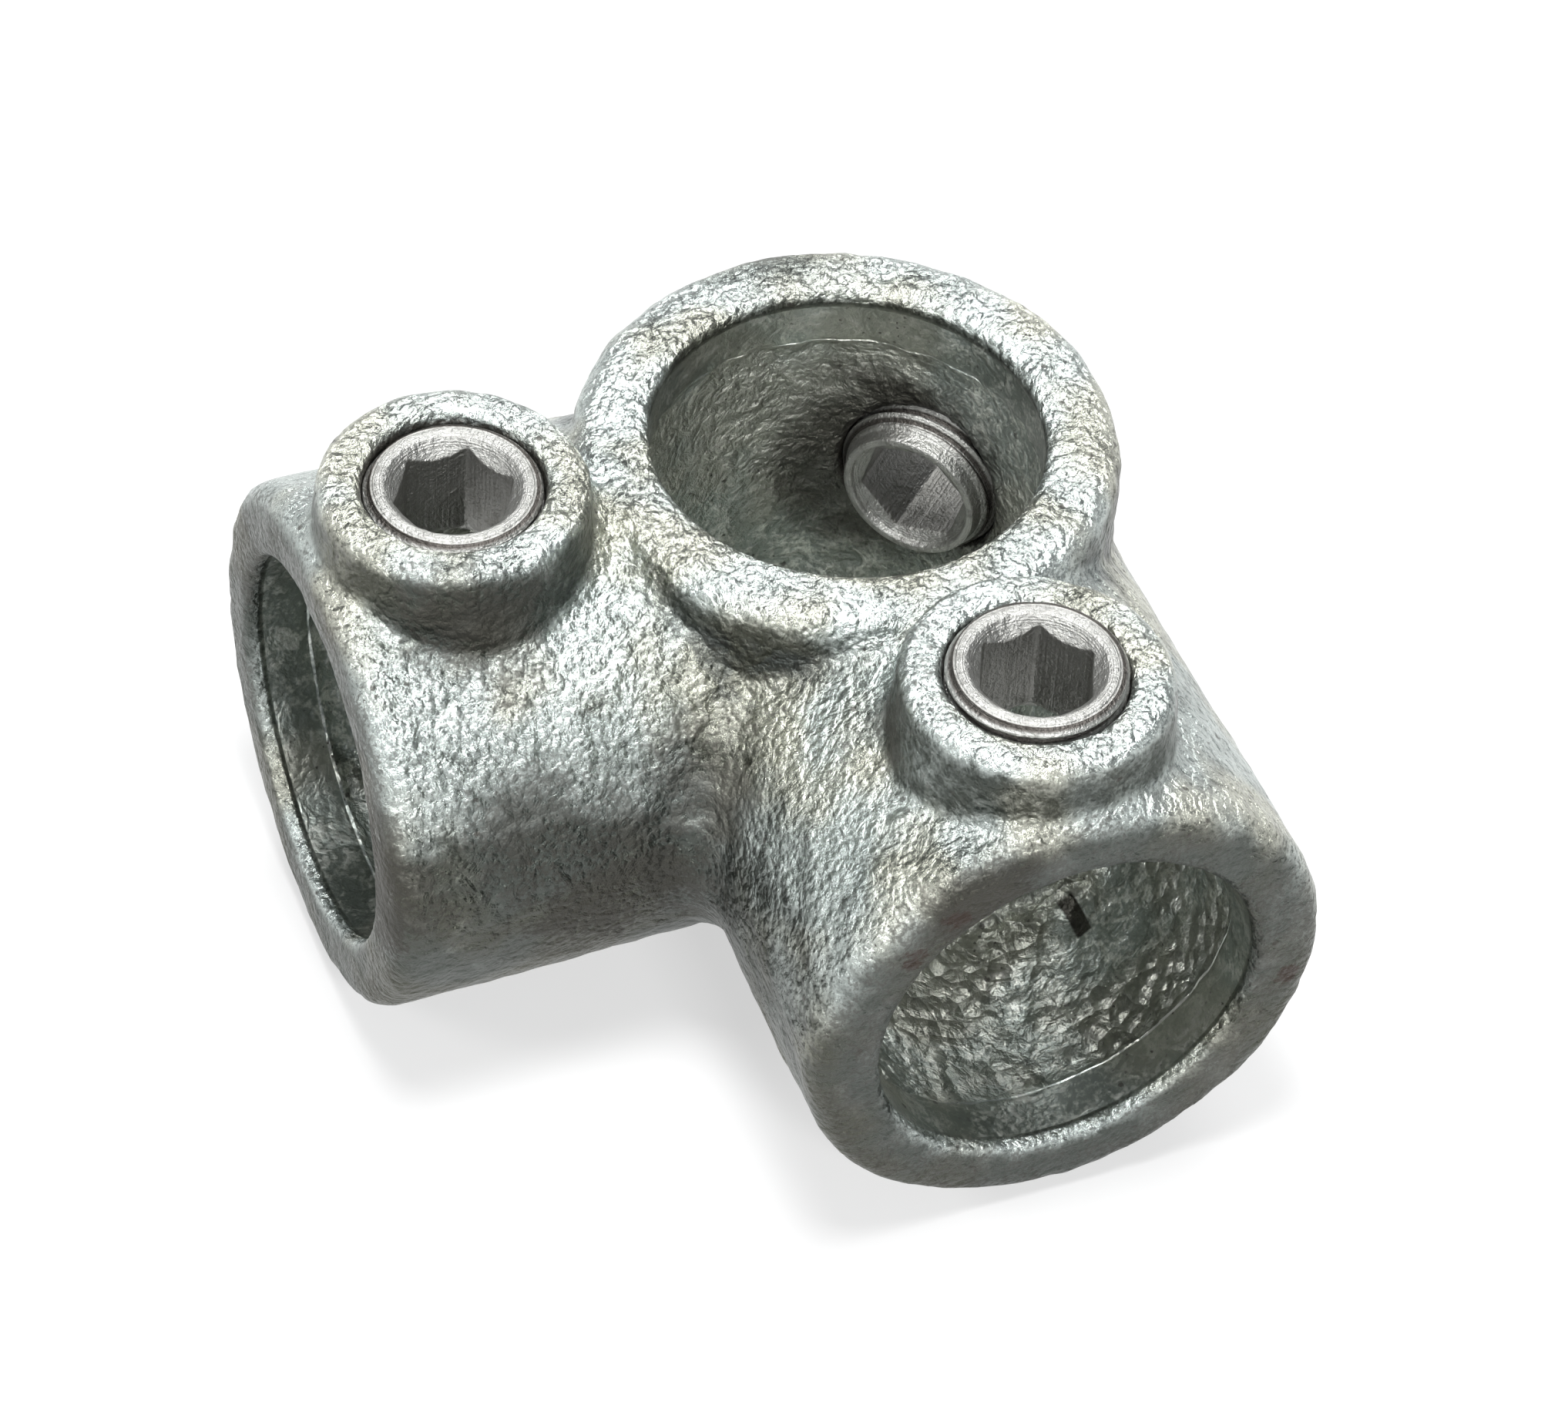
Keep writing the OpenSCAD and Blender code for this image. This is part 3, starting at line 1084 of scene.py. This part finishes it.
@dataclass
class Studio:
    """Floor, lamps, surroundings and camera.

    Attributes:
        floor_z: Height of the floor.
        eye: Place of the camera, in millimetres.
        gaze: Its Euler angles, in radians.
        focal: Its focal length, in pixels of the photograph.
    """

    floor_z: float = -24.5
    eye: Point = (-183.17, -395.31, 451.25)
    gaze: Point = (0.75425, -0.04875, -0.37305)
    focal: float = 8954.0

    def build(self) -> None:
        """Builds all of it."""
        self._floor()
        self._camera()
        self._lamps()
        self._world()
        bpy.context.scene.view_settings.view_transform = "Standard"

    def _floor(self) -> None:
        """Wide plain floor under the part."""
        size = 3000.0
        corners = np.array([(-size, -size, 0), (size, -size, 0), (size, size, 0), (-size, size, 0)], float)
        corners[:, 2] = self.floor_z
        floor = add_mesh("studio_floor", corners, [(0, 1, 2, 3)])
        floor.data.materials.append(PaleFloor().material())

    def _camera(self) -> None:
        """Camera at the photograph's angle."""
        lens = bpy.data.cameras.new("camera")
        lens.sensor_width = SENSOR_MM
        lens.lens = self.focal * SENSOR_MM / IMAGE_WIDTH
        lens.clip_start, lens.clip_end = 0.01, 50.0
        camera = bpy.data.objects.new("camera", lens)
        camera.location = Vector(self.eye) * MM
        camera.rotation_euler = Euler(self.gaze)
        bpy.context.scene.collection.objects.link(camera)
        bpy.context.scene.camera = camera

    def _lamps(self) -> None:
        """Soft boxes above and beside the part."""
        self._lamp("back_box", (250.0, 480.0, 560.0), 330.0, 3.5)
        self._lamp("top_box", (-60.0, -60.0, 700.0), 200.0, 4.6)
        self._lamp("front_box", (-60.0, -600.0, 420.0), 120.0, 2.2)
        self._lamp("left_box", (-620.0, 60.0, 380.0), 180.0, 1.6)

    @staticmethod
    def _lamp(name: str, place: Point, size: float, power: float) -> None:
        """One square soft box that faces the part.

        Args:
            name: Name of the lamp.
            place: Its place.
            size: Length of its side.
            power: Its power, in watts.
        """
        data = bpy.data.lights.new(name, "AREA")
        data.shape, data.size, data.energy = "SQUARE", size * MM, power
        lamp = bpy.data.objects.new(name, data)
        lamp.location = Vector(place) * MM
        lamp.rotation_euler = (-Vector(place)).to_track_quat("-Z", "Y").to_euler()
        bpy.context.scene.collection.objects.link(lamp)

    @staticmethod
    def _world() -> None:
        """Even, dim grey surroundings."""
        world = bpy.data.worlds.new("studio")
        world.use_nodes = True
        plain = world.node_tree.nodes["Background"]
        plain.inputs["Color"].default_value = (0.93, 0.97, 1.0, 1.0)
        plain.inputs["Strength"].default_value = 0.24
        bpy.context.scene.world = world


def make_screws() -> tuple[SetScrew, ...]:
    """Three set screws, as far in as the photograph shows them.

    Returns:
        The screws of the left rail, the front rail and the upright.
    """
    z = Sockets()
    turn = math.radians(z.turn)
    left, front, upright = (
        z.boss_top + out - SetScrew.length for out in (z.left_out, z.front_out, z.upright_out)
    )
    upward = (0.0, 0.0, 0.0)
    return (
        SetScrew("left_rail_set_screw", "left_rail_screw", (-z.boss, 0.0, left), upward, spin=58.0),
        SetScrew(
            "front_rail_set_screw", "front_rail_screw", (z.shift, -z.boss, front), upward, spin=66.0
        ),
        SetScrew(
            "upright_set_screw",
            "upright_screw",
            (upright * math.cos(turn), upright * math.sin(turn), z.lift),
            (0.0, 90.0, z.turn),
            spin=14.0,
        ),
    )


def main() -> None:
    """Builds the part and its studio, in order."""
    logging.basicConfig(level=logging.INFO, format="%(message)s")
    noise.seed_set(NOISE_SEED)
    casting = Casting().build()
    log.info("%s: %d faces", casting.name, len(casting.data.polygons))
    steel = ScrewSteel().material()
    for screw in make_screws():
        piece = screw.build(steel)
        log.info("%s: %d faces", piece.name, len(piece.data.polygons))
    Studio().build()


if __name__ == "__main__":
    main()
